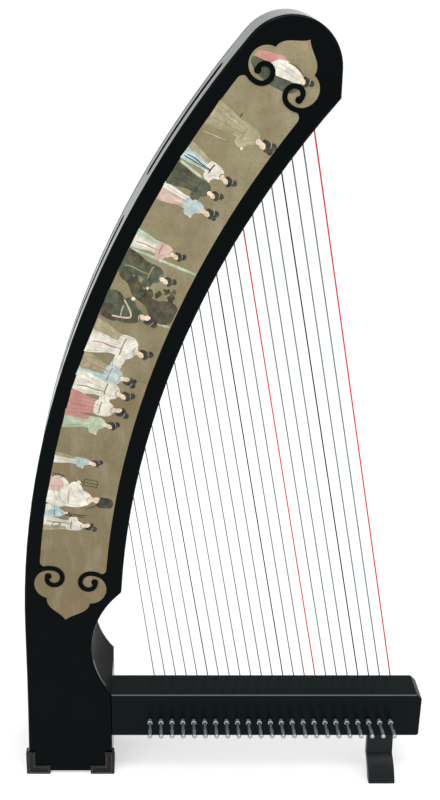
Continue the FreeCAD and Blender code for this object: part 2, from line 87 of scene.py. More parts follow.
def objectCoords(tree, scale=(1.0, 1.0, 1.0), turn=(0.0, 0.0, 0.0)):
    coords = tree.nodes.new("ShaderNodeTexCoord")
    mapping = tree.nodes.new("ShaderNodeMapping")
    mapping.inputs["Scale"].default_value = scale
    mapping.inputs["Rotation"].default_value = turn
    tree.links.new(coords.outputs["Object"], mapping.inputs[0])
    return mapping.outputs[0]


def noiseOf(tree, where, scale, detail=3.0, rough=0.5):
    noise = tree.nodes.new("ShaderNodeTexNoise")
    noise.inputs["Scale"].default_value = scale
    noise.inputs["Detail"].default_value = detail
    noise.inputs["Roughness"].default_value = rough
    tree.links.new(where, noise.inputs["Vector"])
    return noise.outputs["Fac"]


def rampOf(tree, value, low, high, lowAt=0.3, highAt=0.7):
    ramp = tree.nodes.new("ShaderNodeValToRGB")
    ramp.color_ramp.elements[0].position = lowAt
    ramp.color_ramp.elements[0].color = low
    ramp.color_ramp.elements[1].position = highAt
    ramp.color_ramp.elements[1].color = high
    tree.links.new(value, ramp.inputs[0])
    return ramp.outputs[0]


def rangeOf(tree, value, fromLow, fromHigh, toLow, toHigh):
    remap = tree.nodes.new("ShaderNodeMapRange")
    limits = {"From Min": fromLow, "From Max": fromHigh, "To Min": toLow, "To Max": toHigh}
    for socket, number in limits.items():
        remap.inputs[socket].default_value = number
    tree.links.new(value, remap.inputs["Value"])
    return remap.outputs[0]


def mixOf(tree, factor, first, second, blend="MIX"):
    mix = tree.nodes.new("ShaderNodeMix")
    mix.data_type = "RGBA"
    mix.blend_type = blend
    for socket, value in ((mix.inputs[0], factor), (mix.inputs[6], first), (mix.inputs[7], second)):
        if isinstance(value, (float, int, tuple)):
            socket.default_value = value
        else:
            tree.links.new(value, socket)
    return mix.outputs[2]


def bumpOf(tree, shader, height, strength, distance):
    bump = tree.nodes.new("ShaderNodeBump")
    bump.inputs["Strength"].default_value = strength
    bump.inputs["Distance"].default_value = distance
    tree.links.new(height, bump.inputs["Height"])
    if shader.inputs["Normal"].links:
        tree.links.new(shader.inputs["Normal"].links[0].from_socket, bump.inputs["Normal"])
    tree.links.new(bump.outputs[0], shader.inputs["Normal"])


def setStudio():
    floorMaterial, tree, shader = newMaterial("studioFloor", roughness=0.9, specular=0.0)
    where = objectCoords(tree)
    paper = rampOf(tree, noiseOf(tree, where, 3.0), *studio["floorTones"])
    tree.links.new(paper, shader.inputs["Base Color"])
    shader.inputs["Emission Color"].default_value = studio["white"]
    shader.inputs["Emission Strength"].default_value = studio["floorGlow"]
    floorBm = bmesh.new()
    bmesh.ops.create_grid(floorBm, x_segments=2, y_segments=2, size=studio["floorSize"] / 2)
    floorMesh = bpy.data.meshes.new("studioFloor")
    floorBm.to_mesh(floorMesh)
    floorBm.free()
    floor = bpy.data.objects.new("studioFloor", floorMesh)
    floorMesh.materials.append(floorMaterial)
    bpy.context.collection.objects.link(floor)

    world = bpy.data.worlds.new("studioLight")
    world.use_nodes = True
    world.node_tree.nodes["Background"].inputs[0].default_value = studio["white"]
    world.node_tree.nodes["Background"].inputs[1].default_value = studio["worldStrength"]
    bpy.context.scene.world = world
    bpy.context.scene.view_settings.view_transform = "Standard"

    for soft in studio["lights"]:
        lamp = bpy.data.lights.new(soft["name"], "AREA")
        lamp.shape = "RECTANGLE"
        lamp.size, lamp.size_y = soft["size"]
        lamp.energy = soft["power"]
        holder = bpy.data.objects.new(soft["name"], lamp)
        holder.location = soft["at"]
        aim = Vector(studio["aim"]) - Vector(soft["at"])
        holder.rotation_euler = aim.to_track_quat("-Z", "Y").to_euler()
        bpy.context.collection.objects.link(holder)


placeCamera()
setStudio()
print("studio is set")


# finishes of the carried-over parts
def lacquer(name, tint, warm, glossLow, glossHigh, specular, sheenTint=(1.0, 1.0, 1.0, 1.0)):
    material, tree, shader = newMaterial(name, specular=specular)
    shader.inputs["Specular Tint"].default_value = sheenTint
    where = objectCoords(tree)
    along = objectCoords(tree, scale=(1.0, 1.0, 0.08))
    clouds = noiseOf(tree, where, 9.0, 5.0, 0.6)
    grain = noiseOf(tree, along, 140.0, 3.0, 0.6)
    depth = rampOf(tree, clouds, tint, warm, 0.35, 0.75)
    grained = mixOf(tree, rangeOf(tree, grain, 0.45, 0.75, 0.0, 0.5), depth, warm)
    tree.links.new(grained, shader.inputs["Base Color"])
    smear = noiseOf(tree, where, 22.0, 4.0, 0.7)
    dust = rangeOf(tree, noiseOf(tree, where, 900.0, 1.0), 0.70, 0.78, 0.0, 0.25)
    gloss = rangeOf(tree, smear, 0.3, 0.7, glossLow, glossHigh)
    joined = tree.nodes.new("ShaderNodeMath")
    joined.operation = "ADD"
    tree.links.new(gloss, joined.inputs[0])
    tree.links.new(dust, joined.inputs[1])
    tree.links.new(joined.outputs[0], shader.inputs["Roughness"])
    bumpOf(tree, shader, noiseOf(tree, where, 260.0, 2.0), 0.05, 0.0004)
    bumpOf(tree, shader, grain, 0.04, 0.0003)
    return material


def paintedEdgeHighlight(material, shine):  # painted highlight: a light line painted into the colour of the arm's long upper front edge, where the surface faces up and forward
    tree = material.node_tree
    shader = tree.nodes["Principled BSDF"]
    face = tree.nodes.new("ShaderNodeNewGeometry")
    facing = tree.nodes.new("ShaderNodeVectorMath")
    facing.operation = "DOT_PRODUCT"
    facing.inputs[1].default_value = (0.0, -0.62, 0.785)
    tree.links.new(face.outputs["Normal"], facing.inputs[0])
    # painted highlight mask: lighter colour where the surface faces up and forward
    lightEdgeMask = rangeOf(tree, facing.outputs["Value"], 0.93, 0.985, 0.0, 0.9)
    plain = shader.inputs["Base Color"].links[0].from_socket
    tree.links.new(mixOf(tree, lightEdgeMask, plain, shine), shader.inputs["Base Color"])


def silkTone(tree):
    where = objectCoords(tree)
    height = tree.nodes.new("ShaderNodeSeparateXYZ")
    tree.links.new(where, height.inputs[0])
    # darker towards the bottom of the panel, lighter towards the top
    towardsTop = rangeOf(tree, height.outputs[2], 0.20, 0.80, 0.0, 1.0)
    ground = mixOf(tree, towardsTop, srgb(116, 103, 75), srgb(134, 127, 97))
    blotch = noiseOf(tree, where, 24.0, 6.0, 0.62)
    stained = mixOf(tree, rangeOf(tree, blotch, 0.40, 0.66, 0.0, 0.75), ground, srgb(112, 99, 71))
    slanted = objectCoords(tree, scale=(1.0, 1.0, 0.35), turn=(0.0, 0.5, 0.0))
    veil = noiseOf(tree, slanted, 60.0, 4.0, 0.6)
    veiled = mixOf(tree, rangeOf(tree, veil, 0.50, 0.72, 0.0, 0.45), stained, srgb(150, 139, 122))
    specks = noiseOf(tree, where, 420.0, 3.0, 0.7)
    return mixOf(tree, rangeOf(tree, specks, 0.52, 0.78, 0.0, 0.6), veiled, srgb(86, 74, 48)), where


def silkWeave(tree, shader, strength):
    threads = []
    for axis in ("X", "Z"):
        wave = tree.nodes.new("ShaderNodeTexWave")
        wave.bands_direction = axis
        wave.inputs["Scale"].default_value = 420.0
        wave.inputs["Distortion"].default_value = 1.2
        tree.links.new(objectCoords(tree), wave.inputs["Vector"])
        threads.append(wave.outputs["Fac"])
    both = tree.nodes.new("ShaderNodeMath")
    both.operation = "MULTIPLY"
    tree.links.new(threads[0], both.inputs[0])
    tree.links.new(threads[1], both.inputs[1])
    bumpOf(tree, shader, both.outputs[0], strength, 0.0002)


def paintedSilk():
    material, tree, shader = newMaterial("painted_silk_ground", specular=0.2)
    tone, where = silkTone(tree)
    tree.links.new(tone, shader.inputs["Base Color"])
    worn = rangeOf(tree, noiseOf(tree, where, 35.0), 0.3, 0.7, 0.55, 0.75)
    tree.links.new(worn, shader.inputs["Roughness"])
    silkWeave(tree, shader, 0.25)
    return material


def pigment(name, colour, body):
    material, tree, shader = newMaterial("pigment_" + name, specular=0.15)
    tone, where = silkTone(tree)
    wash = noiseOf(tree, where, 160.0, 5.0, 0.65)
    pale = tuple(min(1.0, c * 1.35 + 0.01) for c in colour[:3]) + (1.0,)
    worked = mixOf(tree, rangeOf(tree, noiseOf(tree, where, 70.0, 3.0), 0.35, 0.65, 0.0, 1.0), colour, pale)
    cover = rangeOf(tree, wash, 0.30, 0.62, body - 0.30, min(1.0, body + 0.10))
    tree.links.new(mixOf(tree, cover, tone, worked), shader.inputs["Base Color"])
    tree.links.new(rangeOf(tree, wash, 0.3, 0.7, 0.6, 0.8), shader.inputs["Roughness"])
    silkWeave(tree, shader, 0.2)
    return material


def brushedMetal(name, colour, roughLow, roughHigh, stretch=(1.0, 0.15, 1.0)):
    material, tree, shader = newMaterial(name, metallic=1.0)
    where = objectCoords(tree, scale=stretch)
    scratch = noiseOf(tree, where, 1400.0, 3.0, 0.6)
    film = noiseOf(tree, objectCoords(tree), 120.0, 4.0, 0.6)
    dull = tuple(c * 0.72 for c in colour[:3]) + (1.0,)
    body = mixOf(tree, rangeOf(tree, film, 0.4, 0.75, 0.0, 0.6), colour, dull)
    tree.links.new(body, shader.inputs["Base Color"])
    tree.links.new(rangeOf(tree, scratch, 0.3, 0.7, roughLow, roughHigh), shader.inputs["Roughness"])
    bumpOf(tree, shader, scratch, 0.06, 0.0001)
    return material


def chromePaintedDarkEdges(name, bright, edge, roughLow, roughHigh):  # painted dark reflection: the base colour is painted dark where the round pins turn away from the viewer
    material, tree, shader = newMaterial(name, metallic=0.72, specular=0.3)
    where = objectCoords(tree, scale=(1.0, 0.15, 1.0))
    scratch = noiseOf(tree, where, 1400.0, 3.0, 0.6)
    film = noiseOf(tree, objectCoords(tree), 160.0, 4.0, 0.6)
    dull = tuple(c * 0.7 for c in bright[:3]) + (1.0,)
    body = mixOf(tree, rangeOf(tree, film, 0.4, 0.75, 0.0, 0.6), bright, dull)
    # painted shade: Layer Weight facing paints the edges dark in place of dark reflections
    glance = tree.nodes.new("ShaderNodeLayerWeight")
    glance.inputs["Blend"].default_value = 0.5
    paintedDarkEdgeMask = rangeOf(tree, glance.outputs["Facing"], 0.30, 0.78, 0.0, 1.0)
    tree.links.new(mixOf(tree, paintedDarkEdgeMask, body, edge), shader.inputs["Base Color"])
    tree.links.new(rangeOf(tree, scratch, 0.3, 0.7, roughLow, roughHigh), shader.inputs["Roughness"])
    bumpOf(tree, shader, scratch, 0.06, 0.0001)
    return material


def castFoot():
    material, tree, shader = newMaterial("corner_foot_casting", specular=0.16)
    where = objectCoords(tree)
    # lighter, browner edges found with the Bevel node: partly wear on the casting, partly a painted
    # highlight along the rims
    edge = tree.nodes.new("ShaderNodeBevel")
    edge.samples = 6
    edge.inputs["Radius"].default_value = 0.0012
    face = tree.nodes.new("ShaderNodeNewGeometry")
    facing = tree.nodes.new("ShaderNodeVectorMath")
    facing.operation = "DOT_PRODUCT"
    tree.links.new(edge.outputs[0], facing.inputs[0])
    tree.links.new(face.outputs["Normal"], facing.inputs[1])
    lightEdgeMask = rangeOf(tree, facing.outputs["Value"], 0.80, 0.99, 1.0, 0.0)
    pits = noiseOf(tree, where, 300.0, 4.0, 0.7)
    base = rampOf(tree, pits, srgb(14, 14, 16), srgb(30, 29, 30), 0.3, 0.7)
    # edge colour: partly wear, partly painted highlight
    worn = rampOf(tree, noiseOf(tree, where, 90.0), srgb(86, 74, 66), srgb(108, 104, 100), 0.35, 0.65)
    tree.links.new(mixOf(tree, lightEdgeMask, base, worn), shader.inputs["Base Color"])
    tree.links.new(rangeOf(tree, pits, 0.3, 0.7, 0.32, 0.55), shader.inputs["Roughness"])
    bumpOf(tree, shader, pits, 0.25, 0.0004)
    return material


def stringFinish(name, colour, shine):
    material, tree, shader = newMaterial(name, specular=0.2)
    where = objectCoords(tree)
    slub = noiseOf(tree, where, 240.0, 3.0, 0.6)
    shade = tuple(c * 0.8 for c in colour[:3]) + (1.0,)
    tree.links.new(rampOf(tree, slub, shade, colour, 0.35, 0.65), shader.inputs["Base Color"])
    tree.links.new(rangeOf(tree, slub, 0.3, 0.7, shine, shine + 0.15), shader.inputs["Roughness"])
    wound = tree.nodes.new("ShaderNodeTexWave")
    wound.bands_direction = "Z"
    wound.inputs["Scale"].default_value = 500.0
    tree.links.new(where, wound.inputs["Vector"])
    bumpOf(tree, shader, wound.outputs["Fac"], 0.15, 0.0001)
    return material


def timber(name, dark, light):
    material, tree, shader = newMaterial(name, specular=0.3)
    where = objectCoords(tree, scale=(1.0, 1.0, 0.12))
    rings = noiseOf(tree, where, 90.0, 6.0, 0.65)
    tree.links.new(rampOf(tree, rings, dark, light, 0.35, 0.7), shader.inputs["Base Color"])
    tree.links.new(rangeOf(tree, rings, 0.3, 0.7, 0.45, 0.7), shader.inputs["Roughness"])
    bumpOf(tree, shader, rings, 0.25, 0.0004)
    return material


def rubber():
    material, tree, shader = newMaterial("pad_rubber", specular=0.25)
    where = objectCoords(tree)
    dusty = noiseOf(tree, where, 260.0, 4.0, 0.7)
    tree.links.new(rampOf(tree, dusty, srgb(24, 24, 25), srgb(46, 45, 44)), shader.inputs["Base Color"])
    tree.links.new(rangeOf(tree, dusty, 0.3, 0.7, 0.65, 0.9), shader.inputs["Roughness"])
    bumpOf(tree, shader, dusty, 0.3, 0.0004)
    return material


finishes = {
    "columnLacquer": lacquer("column_lacquer", (0.0003, 0.0012, 0.0013, 1), (0.0012, 0.0016, 0.0015, 1),
                             0.05, 0.12, 0.055, (0.78, 0.92, 0.95, 1)),
    "armLacquer": lacquer("arm_lacquer", (0.0024, 0.0042, 0.0050, 1), (0.0036, 0.0054, 0.0060, 1),
                          0.22, 0.30, 0.05, (0.86, 0.98, 1.0, 1)),
    "backLacquer": lacquer("back_lacquer", (0.0010, 0.0036, 0.0044, 1), (0.0018, 0.0042, 0.0050, 1),
                           0.10, 0.20, 0.06, (0.58, 0.68, 0.70, 1)),
    "innerLacquer": lacquer("notch_lacquer", (0.005, 0.006, 0.006, 1), (0.010, 0.010, 0.010, 1),
                            0.42, 0.55, 0.02),
    "standLacquer": lacquer("stand_lacquer", (0.004, 0.006, 0.007, 1), (0.007, 0.009, 0.010, 1),
                            0.30, 0.42, 0.16),
    "silk": paintedSilk(),
    "foot": castFoot(),
    # pin colour with painted dark reflections along the edges that turn away from the viewer
    "pinSteel": chromePaintedDarkEdges("pin_steel_polished", (0.36, 0.42, 0.46, 1), (0.016, 0.020, 0.024, 1),
                           0.26, 0.38),
    "screwSteel": brushedMetal("screw_steel", (0.45, 0.45, 0.46, 1), 0.25, 0.45),
    "brass": brushedMetal("eyelet_brass", (0.72, 0.52, 0.24, 1), 0.18, 0.35),
    "paleString": stringFinish("pale_string_nylon", srgb(108, 124, 130), 0.35),
    "darkString": stringFinish("dark_string_nylon", srgb(5, 5, 5), 0.5),
    "redString": stringFinish("red_string_nylon", srgb(212, 12, 22), 0.35),
    "soundboard": timber("soundboard_stained", srgb(26, 20, 17), srgb(48, 36, 28)),
    "bareWood": timber("inner_bare_wood", srgb(150, 112, 72), srgb(196, 158, 110)),
    "bead": timber("knot_bead_horn", srgb(92, 66, 40), srgb(130, 96, 58)),
    "rubber": rubber(),
}
dressing = {
    "columnLacquer": ("front_side_panel", "rear_side_panel", "base_block",
                      "front_scroll_ornament", "rear_scroll_ornament"),
    "backLacquer": ("back_plate", "head_block"),
    "armLacquer": ("arm",),
    "standLacquer": ("arm_stand",),
    "innerLacquer": ("notch_liner",),
    "silk": ("front_painted_panel", "rear_painted_panel"),
    "foot": ("foot_front_left", "foot_front_right", "foot_rear_left", "foot_rear_right"),
    "pinSteel": tuple("tuning_pin_%02d" % (k + 1) for k in range(pinCount)) + ("guide_pins",),
    "screwSteel": ("arm_bolts", "stand_screws"),
    "brass": ("string_eyelets",),
    "paleString": ("plain_strings",),
    "darkString": ("dark_strings",),
    "redString": ("red_strings",),
    "soundboard": ("soundboard", "outer_string_strip", "base_plate"),
    "bareWood": ("inner_string_bar", "soundboard_linings", "cross_braces"),
    "bead": ("string_knots",),
    "rubber": ("stand_pad",),
}
# paints a highlight line into the arm lacquer's colour along its upper front edge
paintedEdgeHighlight(finishes["armLacquer"], (0.10, 0.135, 0.145, 1.0))
for finish, names in dressing.items():
    for name in names:
        for slot in nodes[name].material_slots:
            slot.material = finishes[finish]
print("finishes on", sum(len(names) for names in dressing.values()), "of", len(nodes), "nodes")

# painted frieze on both side panels, in millimetres
column = {
    "centre": (857.5, 219.0), "radius": 1088.5,  # the frieze's foot line is an arc
    "lean": 1.3, "halfDepth": 57.5, "middle": 15.0, "lowered": 3.5,
    "layer": 0.03, "thick": 0.05, "weld": 0.000002, "footLine": 0.15,
    "sharpBelow": 0.4, "curveSteps": 4,  # a wash has sharp corners along its foot and round ones above
}
pigments = {
    "white": (srgb(196, 194, 182), 0.88),
    "pearl": (srgb(172, 164, 136), 0.42),
    "rose": (srgb(172, 116, 114), 0.80),
    "blush": (srgb(188, 160, 150), 0.80),
    "sky": (srgb(158, 180, 182), 0.80),
    "celadon": (srgb(158, 174, 150), 0.82),
    "moss": (srgb(54, 64, 52), 0.92),
    "umber": (srgb(50, 48, 36), 0.90),
    "earth": (srgb(130, 104, 74), 0.80),
    "orange": (srgb(162, 116, 88), 0.42),
    "skin": (srgb(198, 180, 158), 0.92),
    "ink": (srgb(26, 30, 30), 0.98),
    "line": (srgb(96, 92, 76), 0.85),
}
paint = {name: bmesh.new() for name in pigments}


def panelPlace(angle, rise=0.0, aside=0.0, turn=0.0):
    a = math.radians(angle)
    reach = column["radius"]
    centreX, centreZ = column["centre"]
    base = Vector((centreX - reach * math.cos(a), 0.0, centreZ + reach * math.sin(a)))
    along = Vector((math.sin(a), 0.0, math.cos(a)))
    across = Vector((math.cos(a), 0.0, -math.sin(a)))
    outward = Vector((0.0, 1.0, 0.0))
    place = Matrix((along, across, outward)).transposed().to_4x4()
    place.translation = base + along * aside + across * rise
    return place @ Matrix.Rotation(math.radians(turn), 4, "Z")


def layShape(colour, curve, place, level):  # a higher level lies on top of a lower one
    holder = bpy.data.objects.new("brushMark", curve)
    mesh = bpy.data.meshes.new_from_object(holder)
    flatness = column["thick"] / curve.bevel_depth / 2 if curve.bevel_depth else 1.0
    flat = Matrix.Diagonal((1.0, 1.0, flatness, 1.0))
    lift = Matrix.Translation((0.0, 0.0, -column["layer"] * level))
    mesh.transform(Matrix.Scale(mm, 4) @ place @ lift @ flat)
    paint[colour].from_mesh(mesh)
    bpy.data.meshes.remove(mesh)
    bpy.data.objects.remove(holder)
    bpy.data.curves.remove(curve)


def wash(colour, outline, place, level):
    curve = bpy.data.curves.new("washShape", "CURVE")
    curve.dimensions = "2D"
    curve.fill_mode = "BOTH"
    curve.extrude = column["thick"] / 2
    curve.resolution_u = column["curveSteps"]
    spline = curve.splines.new("BEZIER")
    spline.bezier_points.add(len(outline) - 1)
    spline.use_cyclic_u = True
    for point, (x, y) in zip(spline.bezier_points, outline):
        point.co = (x, y, 0.0)
        kind = "VECTOR" if y <= column["sharpBelow"] else "AUTO"
        point.handle_left_type = kind
        point.handle_right_type = kind
    layShape(colour, curve, place, level)


def stroke(colour, points, place, level, width=0.5, taper=0.35):
    curve = bpy.data.curves.new("brushStroke", "CURVE")
    curve.dimensions = "3D"
    curve.bevel_depth = width / 2
    curve.bevel_resolution = 0
    curve.use_fill_caps = True
    curve.resolution_u = column["curveSteps"]
    spline = curve.splines.new("NURBS")
    spline.points.add(len(points) - 1)
    for k, (point, (x, y)) in enumerate(zip(spline.points, points)):
        point.co = (x, y, 0.0, 1.0)
        point.radius = 1.0 if 0 < k < len(points) - 1 else taper
    spline.order_u = min(3, len(points))
    spline.use_endpoint_u = True
    layShape(colour, curve, place, level)


def mirrored(points, facing, wide=1.0):
    return [(x * facing * wide, y) for x, y in points]


# a head stands above its figure's foot line, and the hair is drawn a little larger about its middle
headLook = {
    "middle": 57.5, "hairSize": 1.22,
    "eyes": (0.9, 3.0), "brow": [(-0.6, 57.4), (0.0, 57.7), (0.6, 57.4)],
    "eyelid": [(-0.5, 56.5), (0.0, 56.7), (0.5, 56.5)],
    "neck": [(2.4, 49.0), (-1.6, 49.0), (-1.5, 53.0), (2.0, 53.4)],
    "face": [(0.6, 52.2), (3.2, 53.6), (4.1, 56.6), (2.8, 59.6), (0.2, 60.2), (-2.4, 57.4), (-1.6, 53.6)],
    "hat": [(-3.6, 57.0), (-0.6, 58.2), (3.6, 59.4), (4.0, 62.0), (3.4, 68.0), (-2.8, 69.6), (-4.8, 64.0)],
    "hatTail": [(-3.2, 58.0), (-6.0, 55.0), (-8.4, 49.5)],
    "hair": [(-1.9, 54.2), (-1.0, 57.2), (1.2, 59.0), (4.0, 59.2), (3.4, 61.6), (0.4, 62.8), (-3.0, 61.4),
             (-4.2, 57.8), (-3.4, 54.6)],
    "bun": [(-2.8, 61.0), (-0.6, 61.4), (0.4, 64.0), (-1.8, 66.4), (-4.6, 65.2), (-5.0, 62.4)],
    "secondBun": [(0.6, 61.4), (3.2, 61.8), (4.0, 64.4), (2.0, 65.8), (0.0, 64.2)],
    "ribbon": [(-4.4, 60.8), (-2.6, 62.2), (-0.2, 62.4)],
    "nose": [(2.2, 56.2), (2.5, 55.2), (2.1, 54.9)],
    "mouth": [(1.5, 53.9), (2.0, 54.0), (2.5, 53.9)],
}


def head(place, facing, hair, level):
    middle = headLook["middle"]
    crown = place @ Matrix.Translation((0.0, middle, 0.0)) @ Matrix.Scale(headLook["hairSize"], 4)
    crown = crown @ Matrix.Translation((0.0, -middle, 0.0))

    def at(part):
        return mirrored(headLook[part], facing)

    wash("skin", at("neck"), place, level)
    wash("skin", at("face"), place, level + 1)
    if hair == "hat":
        wash("ink", at("hat"), crown, level + 2)
        stroke("ink", at("hatTail"), crown, level + 2, 0.9)
    else:
        wash("ink", at("hair"), crown, level + 2)
        wash("ink", at("bun"), crown, level + 3)
    if hair == "double":
        wash("ink", at("secondBun"), crown, level + 3)
    if hair != "hat":
        stroke("white", at("ribbon"), crown, level + 4, 0.5)
    for middleX in headLook["eyes"]:
        for part, width in (("brow", 0.22), ("eyelid", 0.28)):
            line = [(middleX + x, y) for x, y in headLook[part]]
            stroke("ink", mirrored(line, facing), place, level + 3, width)
    stroke("line", at("nose"), place, level + 3, 0.2)
    stroke("rose", at("mouth"), place, level + 3, 0.4)


standing = {
    "height": 66.0,
    "skirt": [(-11.0, 0.0), (11.5, 0.0), (9.5, 12.0), (6.6, 24.0), (5.4, 36.0), (-5.4, 36.0), (-7.2, 24.0),
              (-9.6, 12.0)],
    "train": [(-11.0, 0.0), (-3.5, 0.0), (-3.0, 14.0), (-2.6, 28.0), (-5.2, 35.0), (-7.6, 24.0),
              (-9.8, 12.0)],
    "jacket": [(-6.4, 30.0), (-2.0, 28.6), (3.0, 28.4), (6.2, 30.4), (6.8, 39.0), (5.8, 46.0), (2.4, 50.2),
               (-2.6, 50.4), (-6.4, 46.6), (-7.6, 38.6)],
    "sleeve": [(0.0, 47.0), (6.4, 43.8), (11.4, 41.6), (13.0, 37.6), (11.0, 32.6), (7.6, 31.6), (2.0, 35.2),
               (-1.4, 40.0)],
    "hand": [(11.2, 41.4), (12.6, 42.6), (13.8, 41.2), (12.8, 39.6), (11.6, 39.8)],
    "sashes": (
        ([(-5.8, 35.4), (0.0, 34.2), (5.6, 35.6)], 1.6, 0.8),
        ([(1.4, 34.6), (2.8, 24.0), (1.6, 13.0), (3.8, 4.0)], 1.3, 0.6),
        ([(-3.6, 49.4), (0.2, 44.6), (2.6, 49.6)], 1.0, 0.8),
    ),
    "folds": (
        [(-4.0, 33.0), (-5.2, 20.0), (-7.4, 3.0)],
        [(-1.2, 32.0), (-1.4, 18.0), (-3.0, 2.0)],
        [(3.8, 33.0), (5.0, 20.0), (7.6, 3.0)],
        [(5.0, 30.0), (7.0, 16.0), (10.4, 1.2)],
        [(-6.0, 45.0), (-7.2, 38.0), (-6.0, 31.0)],
        [(1.6, 46.0), (4.4, 40.0), (10.6, 36.6)],
        [(2.4, 36.6), (6.6, 34.0), (10.6, 33.4)],
    ),
    "foldWidth": 0.34, "headDrop": (0.0, 0.0),
}
seated = {
    "height": 56.0,
    "skirt": [(-13.0, 0.0), (15.0, 0.0), (17.0, 8.0), (14.0, 16.0), (6.0, 20.0), (-6.0, 24.0),
              (-13.0, 20.0), (-15.6, 10.0)],
    "train": [(0.0, 0.0), (14.0, 0.0), (15.4, 7.0), (11.0, 13.0), (3.0, 12.0)],
    "jacket": [(-11.6, 14.0), (-4.0, 10.8), (5.0, 13.0), (8.0, 22.0), (6.4, 34.0), (1.4, 42.6),
               (-5.8, 42.4), (-11.0, 35.0), (-13.4, 24.0)],
    "sleeve": [(-1.6, 38.0), (5.6, 34.0), (12.4, 29.0), (13.6, 22.0), (8.0, 18.6), (0.0, 21.0),
               (-4.8, 29.0)],
    "hand": [(12.6, 28.6), (14.6, 29.6), (16.2, 27.2), (14.4, 25.2), (12.8, 25.8)],
    "sashes": (
        ([(-6.6, 41.6), (-1.8, 36.4), (1.2, 41.8)], 1.2, 0.8),
        ([(-9.8, 22.0), (-3.0, 19.6), (4.0, 20.4)], 1.6, 0.8),
    ),
    "folds": (
        [(-10.0, 34.0), (-11.6, 26.0), (-10.0, 16.0)],
        [(-1.0, 37.0), (4.0, 30.0), (11.0, 26.4)],
        [(-4.0, 28.0), (1.6, 22.4), (8.6, 21.0)],
        [(-8.0, 14.0), (0.0, 9.0), (9.0, 9.4)],
        [(-11.0, 12.0), (-3.0, 5.0), (6.0, 4.4)],
    ),
    "foldWidth": 0.36, "headDrop": (-2.0, -8.0),
}


def paintFigure(look):
    robe = look["robe"]
    facing = look["facing"]
    size = look["tall"] / robe["height"]
    place = panelPlace(look["at"], column["footLine"], turn=look["turn"]) @ Matrix.Scale(size, 4)
    level = look.get("level", 1)

    def at(points):
        return mirrored(points, facing, look.get("wide", 1.0))

    wash(look["skirt"], at(robe["skirt"]), place, level)
    wash(look["train"], at(robe["train"]), place, level + 1)
    wash(look["jacket"], at(robe["jacket"]), place, level + 2)
    wash(look["jacket"], at(robe["sleeve"]), place, level + 3)
    wash("skin", at(robe["hand"]), place, level + 4)
    for points, width, taper in robe["sashes"]:
        stroke(look["sash"], at(points), place, level + 4, width, taper)
    fold = "umber" if look["jacket"] in ("moss", "umber") else "line"
    for points in robe["folds"]:
        stroke(fold, at(points), place, level + 5, robe["foldWidth"])
    aside, drop = robe["headDrop"]
    head(place @ Matrix.Translation((aside * facing, drop, 0.0)), facing, look["hair"], level + 5)


figures = (
    {"robe": standing, "at": 35.6, "tall": 76, "facing": -1, "wide": 1.1, "skirt": "pearl",
     "train": "pearl", "jacket": "pearl", "sash": "pearl", "hair": "double", "turn": -3},
    {"robe": standing, "at": 33.1, "tall": 64, "facing": -1, "wide": 1.0, "skirt": "sky",
     "train": "pearl", "jacket": "white", "sash": "ink", "hair": "bun", "turn": 5},
    {"robe": standing, "at": 31.6, "tall": 60, "facing": -1, "wide": 1.3, "skirt": "moss",
     "train": "umber", "jacket": "moss", "sash": "umber", "hair": "bun", "turn": -2, "level": 6},
    {"robe": standing, "at": 30.4, "tall": 66, "facing": -1, "wide": 0.95, "skirt": "blush",
     "train": "white", "jacket": "sky", "sash": "white", "hair": "double", "turn": -4},
    {"robe": standing, "at": 27.3, "tall": 59, "facing": -1, "wide": 1.1, "skirt": "white",
     "train": "celadon", "jacket": "blush", "sash": "rose", "hair": "bun", "turn": -2},
    {"robe": standing, "at": 25.85, "tall": 62, "facing": -1, "wide": 1.45, "skirt": "moss",
     "train": "umber", "jacket": "moss", "sash": "pearl", "hair": "bun", "turn": 2},
    {"robe": seated, "at": 23.0, "tall": 60, "facing": 1, "skirt": "umber",
     "train": "moss", "jacket": "moss", "sash": "blush", "hair": "bun", "turn": -3, "level": 7},
    {"robe": standing, "at": 20.9, "tall": 72, "facing": -1, "wide": 1.75, "skirt": "white",
     "train": "pearl", "jacket": "white", "sash": "rose", "hair": "bun", "turn": 2},
    {"robe": standing, "at": 19.0, "tall": 66, "facing": 1, "wide": 1.45, "skirt": "pearl",
     "train": "sky", "jacket": "sky", "sash": "rose", "hair": "double", "turn": 4},
    {"robe": standing, "at": 17.85, "tall": 69, "facing": -1, "wide": 1.35, "skirt": "white",
     "train": "white", "jacket": "white", "sash": "earth", "hair": "bun", "turn": 2, "level": 5},
    {"robe": standing, "at": 16.5, "tall": 69, "facing": 1, "wide": 1.25, "skirt": "rose",
     "train": "rose", "jacket": "white", "sash": "pearl", "hair": "bun", "turn": -2, "level": 9},
    {"robe": standing, "at": 15.3, "tall": 63, "facing": -1, "wide": 1.1, "skirt": "celadon",
     "train": "rose", "jacket": "celadon", "sash": "white", "hair": "bun", "turn": -4, "level": 4},
    {"robe": standing, "at": 12.6, "tall": 55, "facing": -1, "wide": 0.75, "skirt": "white",
     "train": "pearl", "jacket": "sky", "sash": "blush", "hair": "bun", "turn": -2},
    {"robe": seated, "at": 10.3, "tall": 68, "facing": 1, "skirt": "white",
     "train": "blush", "jacket": "white", "sash": "blush", "hair": "hat", "turn": 2},
    {"robe": seated, "at": 8.9, "tall": 30, "facing": 1, "skirt": "sky",
     "train": "white", "jacket": "sky", "sash": "ink", "hair": "bun", "turn": 0, "level": 5},
    {"robe": standing, "at": 8.0, "tall": 62, "facing": 1, "wide": 0.95, "skirt": "white",
     "train": "pearl", "jacket": "white", "sash": "earth", "hair": "bun", "turn": -2},
)
for look in figures:
    paintFigure(look)

